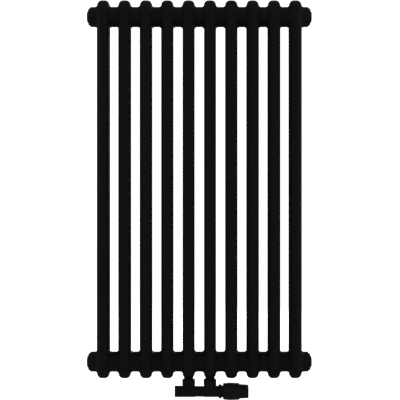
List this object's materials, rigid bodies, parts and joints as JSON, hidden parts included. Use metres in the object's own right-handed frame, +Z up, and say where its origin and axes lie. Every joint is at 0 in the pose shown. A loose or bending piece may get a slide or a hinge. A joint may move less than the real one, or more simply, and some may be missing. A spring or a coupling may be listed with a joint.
{
  "type": "column radiator with valve",
  "caption": "Flat black two-column tubular radiator for a wall, fed from below in the middle through a twin valve with a thermostatic head.",
  "frame": {"origin": "on the top header's axis, halfway along it, where the wall brackets carry the radiator", "axes": "+X along the header to the thermostatic head's side, +Y to the wall, +Z up"},
  "size_m": [0.5264, 0.066, 0.9383],
  "materials": {
    "radiator_black": "matte black powder coat",
    "plug_black": "matte black powder coat",
    "valve_black": "matte black lacquer on brass",
    "nipple_black": "matte black lacquer",
    "head_plastic": "satin black moulding",
    "inner_plastic": "natural",
    "brass": "machined",
    "bleed_brass": "blackened, machined",
    "seal_rubber": "matte",
    "steel": "drawn wire and ground rod",
    "baffle_steel": "plain sheet",
    "capsule_copper": "pressed copper alloy"
  },
  "bodies": {
    "radiator": {"blind_plug_bottom_left": "plug_black", "blind_plug_bottom_right": "plug_black", "blind_plug_top_left": "plug_black", "bottom_head_01": "radiator_black", "bottom_head_02": "radiator_black", "bottom_head_03": "radiator_black", "bottom_head_04": "radiator_black", "bottom_head_05": "radiator_black", "bottom_head_06": "radiator_black", "bottom_head_07": "radiator_black", "bottom_head_08": "radiator_black", "bottom_head_09": "radiator_black", "bottom_head_10": "radiator_black", "coupling_nut": "valve_black", "flow_baffle": "baffle_steel", "gland_nut": "brass", "gland_seals": "seal_rubber", "head_base": "head_plastic", "opening_spring": "steel", "plug_seals": "seal_rubber", "return_insert": "brass", "return_nipple": "nipple_black", "return_union_nut": "valve_black", "return_union_seal": "seal_rubber", "section_tubes_01": "radiator_black", "section_tubes_02": "radiator_black", "section_tubes_03": "radiator_black", "section_tubes_04": "radiator_black", "section_tubes_05": "radiator_black", "section_tubes_06": "radiator_black", "section_tubes_07": "radiator_black", "section_tubes_08": "radiator_black", "section_tubes_09": "radiator_black", "section_tubes_10": "radiator_black", "supply_nipple": "nipple_black", "supply_union_nut": "valve_black", "supply_union_seal": "seal_rubber", "thermostatic_insert": "brass", "top_head_01": "radiator_black", "top_head_02": "radiator_black", "top_head_03": "radiator_black", "top_head_04": "radiator_black", "top_head_05": "radiator_black", "top_head_06": "radiator_black", "top_head_07": "radiator_black", "top_head_08": "radiator_black", "top_head_09": "radiator_black", "top_head_10": "radiator_black", "valve_body": "valve_black", "vent_plug": "plug_black"},
    "handle": {"head_handle": "head_plastic"},
    "sensor": {"sensor_capsule": "capsule_copper", "push_pin": "inner_plastic", "over_travel_spring": "steel"},
    "valve_pin": {"valve_pin": "steel", "valve_disc": "seal_rubber"},
    "return_spindle": {"return_spindle": "brass"},
    "return_cone": {"return_cone": "brass"},
    "bleed_screw": {"bleed_screw": "bleed_brass"},
    "return_cap": {"return_cap": "valve_black"}
  },
  "joints": [
    {"name": "head_turn", "type": "hinge", "parent": "radiator", "child": "handle", "pos_m": [0.09, 0, -0.879], "axis": [-1, 0, 0], "range_deg": [-150, 150]},
    {"name": "sensor_slide", "type": "slide", "parent": "radiator", "child": "sensor", "axis": [-1, 0, 0], "range_m": [-0.001, 0.001], "deforming": ["over_travel_spring"]},
    {"name": "pin_slide", "type": "slide", "parent": "radiator", "child": "valve_pin", "axis": [-1, 0, 0], "range_m": [-0.001, 0.001], "deforming": ["opening_spring"]},
    {"name": "return_spindle_turn", "type": "hinge", "parent": "radiator", "child": "return_spindle", "pos_m": [-0.045, 0, -0.879], "axis": [1, 0, 0], "range_deg": [0, 1020]},
    {"name": "return_cone_slide", "type": "slide", "parent": "radiator", "child": "return_cone", "axis": [1, 0, 0], "range_m": [0, 0.0034]},
    {"name": "bleed_turn", "type": "hinge", "parent": "radiator", "child": "bleed_screw", "pos_m": [0.256, 0, 0], "axis": [1, 0, 0], "range_deg": [0, 360]},
    {"name": "cap_pull", "type": "slide", "parent": "radiator", "child": "return_cap", "axis": [-1, 0, 0], "range_m": [0, 0.04]}
  ],
  "couplings": [
    {"joint": "head_turn", "follows": "sensor_slide", "rad_per_m": 2617},
    {"joint": "pin_slide", "follows": "sensor_slide", "ratio": 1},
    {"joint": "return_spindle_turn", "follows": "return_cone_slide", "rad_per_m": 5235}
  ]
}
